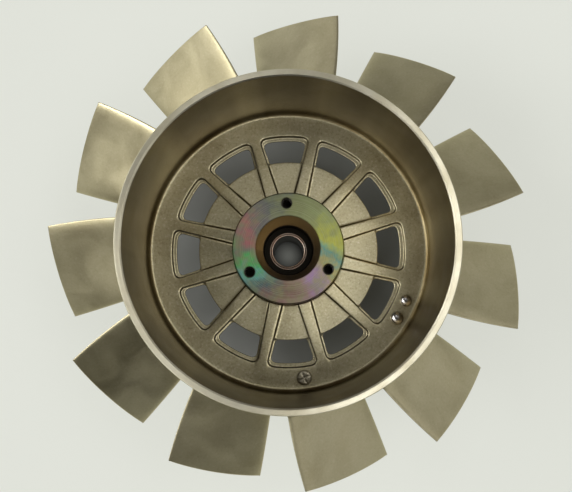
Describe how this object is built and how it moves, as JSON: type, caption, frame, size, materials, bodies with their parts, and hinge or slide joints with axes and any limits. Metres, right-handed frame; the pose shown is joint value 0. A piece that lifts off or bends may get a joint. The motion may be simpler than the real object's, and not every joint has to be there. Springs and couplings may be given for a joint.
{
  "type": "cooling fan rotor",
  "caption": "Cast axial cooling-fan rotor for an air-cooled engine: deep open drum with twisted blades outside, a windowed web, and a flanged steel hub with stepped shaft bore.",
  "frame": {"origin": "on the rotor axis, at the rear end of the steel hub that the rotor stands on", "axes": "+Z along the shaft axis towards the open rim of the drum; +Y towards one puller hole"},
  "size_m": [0.34, 0.3398, 0.138],
  "materials": {
    "cast_alloy": "olive-gold chromated die casting, satin",
    "zinc_steel": "turned steel with iridescent yellow zinc plating",
    "rivet_steel": "bright domed rivet",
    "plug_steel": "dull peened rivet, coated with the casting"
  },
  "bodies": {
    "root": {"drum_shell": "cast_alloy", "web_ring": "cast_alloy", "hub_plate": "cast_alloy", "hub_boss": "cast_alloy", "spoke_01": "cast_alloy", "spoke_02": "cast_alloy", "spoke_03": "cast_alloy", "spoke_04": "cast_alloy", "spoke_05": "cast_alloy", "spoke_06": "cast_alloy", "spoke_07": "cast_alloy", "spoke_08": "cast_alloy", "spoke_09": "cast_alloy", "spoke_10": "cast_alloy", "spoke_11": "cast_alloy", "spoke_12": "cast_alloy", "blade_01": "cast_alloy", "blade_02": "cast_alloy", "blade_03": "cast_alloy", "blade_04": "cast_alloy", "blade_05": "cast_alloy", "blade_06": "cast_alloy", "blade_07": "cast_alloy", "blade_08": "cast_alloy", "blade_09": "cast_alloy", "blade_10": "cast_alloy", "blade_11": "cast_alloy", "steel_hub": "zinc_steel", "balance_rivet_front_a": "rivet_steel", "balance_rivet_front_b": "rivet_steel", "peened_balance_plug": "plug_steel"}
  },
  "joints": []
}
